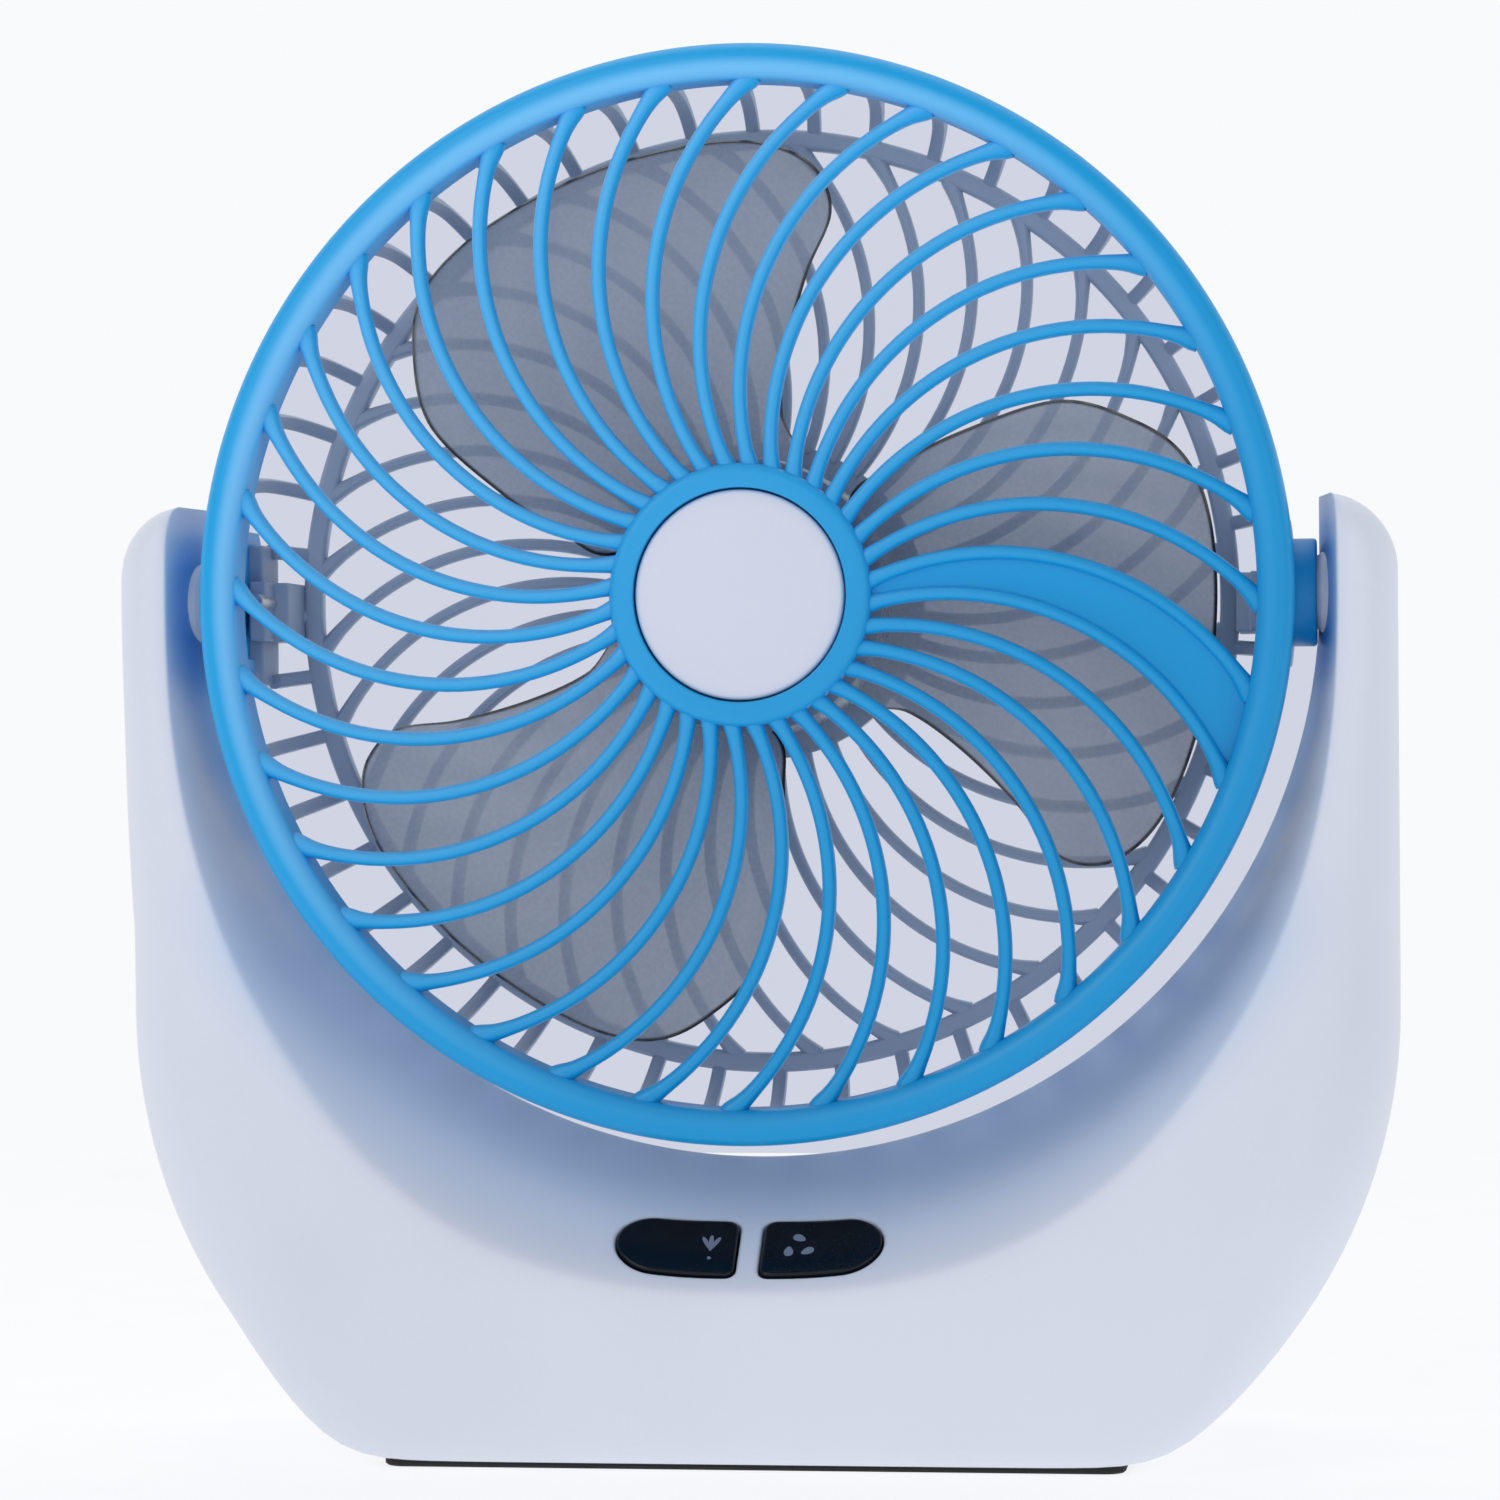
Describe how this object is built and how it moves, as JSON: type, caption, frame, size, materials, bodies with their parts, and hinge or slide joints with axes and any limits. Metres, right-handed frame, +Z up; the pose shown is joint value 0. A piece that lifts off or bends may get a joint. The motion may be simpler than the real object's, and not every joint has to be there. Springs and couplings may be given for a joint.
{
  "type": "rechargeable tilting desk fan",
  "caption": "Small desk fan: a round grilled head tilts between the arms of a U-shaped cradle base with two push buttons and a rear lamp.",
  "frame": {"origin": "on the table, under the centre of the object's box", "axes": "+X to the right of someone facing the fan, -Y the way the fan blows, +Z up"},
  "size_m": [0.206, 0.078, 0.226],
  "materials": {
    "white_shell": "satin moulded",
    "white_cap": "satin moulded",
    "blue_gloss": "glossy moulded",
    "grey_basket": "satin moulded",
    "smoke_clear": "smoke translucent",
    "black_gloss": "glossy black",
    "black_rubber": "matt",
    "milky_diffuser": "milky",
    "natural_nylon": "natural",
    "circuit_board": "solder mask",
    "led_phosphor": "phosphor",
    "cell_sleeve": "shrink sleeve",
    "nickel_strip": "nickel plated",
    "zinc_steel": "zinc plated",
    "sintered_bronze": "sintered",
    "dark_ferrite": "dark"
  },
  "bodies": {
    "base": {"base_front_shell": "white_shell", "base_rear_shell": "white_shell", "anti_slip_pad": "black_rubber", "shell_screws": "zinc_steel", "left_pivot_bush": "natural_nylon", "right_pivot_bush": "natural_nylon", "lamp_diffuser": "milky_diffuser", "led_board": "circuit_board", "led_chips": "led_phosphor", "battery_tray": "natural_nylon", "battery_cell": "cell_sleeve", "battery_clips": "nickel_strip", "charge_board": "circuit_board", "usb_socket": "nickel_strip", "charge_lens": "milky_diffuser", "control_board": "circuit_board", "fan_switch": "black_gloss", "light_switch": "black_gloss"},
    "fan_button": {"fan_button": "black_gloss"},
    "light_button": {"light_button": "black_gloss"},
    "head": {"front_grille": "blue_gloss", "left_pivot_lug": "blue_gloss", "right_pivot_lug": "blue_gloss", "hub_cap": "white_cap", "basket_side": "grey_basket", "rear_grille": "grey_basket", "head_screws": "zinc_steel", "pivot_washers": "natural_nylon", "pivot_screws": "zinc_steel", "motor_can": "nickel_strip", "motor_magnets": "dark_ferrite", "motor_end_cap": "natural_nylon", "motor_bushes": "sintered_bronze", "motor_screws": "zinc_steel", "motor_cover": "grey_basket"},
    "rotor": {"impeller": "smoke_clear", "motor_shaft": "zinc_steel", "armature_core": "dark_ferrite", "commutator": "sintered_bronze"}
  },
  "joints": [
    {"name": "head_tilt", "type": "hinge", "parent": "base", "child": "head", "pos_m": [0, -0.017, 0.139], "axis": [-1, 0, 0], "range_deg": [-30, 90]},
    {"name": "impeller_spin", "type": "hinge", "parent": "head", "child": "rotor", "pos_m": [0, 0, 0.139], "axis": [0, 1, 0], "continuous": true},
    {"name": "fan_button_press", "type": "slide", "parent": "base", "child": "fan_button", "axis": [0, 0.6074, -0.7944], "range_m": [0, 0.0008], "stiffness_N_per_m": 800, "springref_m": -0.0008},
    {"name": "light_button_press", "type": "slide", "parent": "base", "child": "light_button", "axis": [0, 0.6074, -0.7944], "range_m": [0, 0.0008], "stiffness_N_per_m": 800, "springref_m": -0.0008}
  ]
}
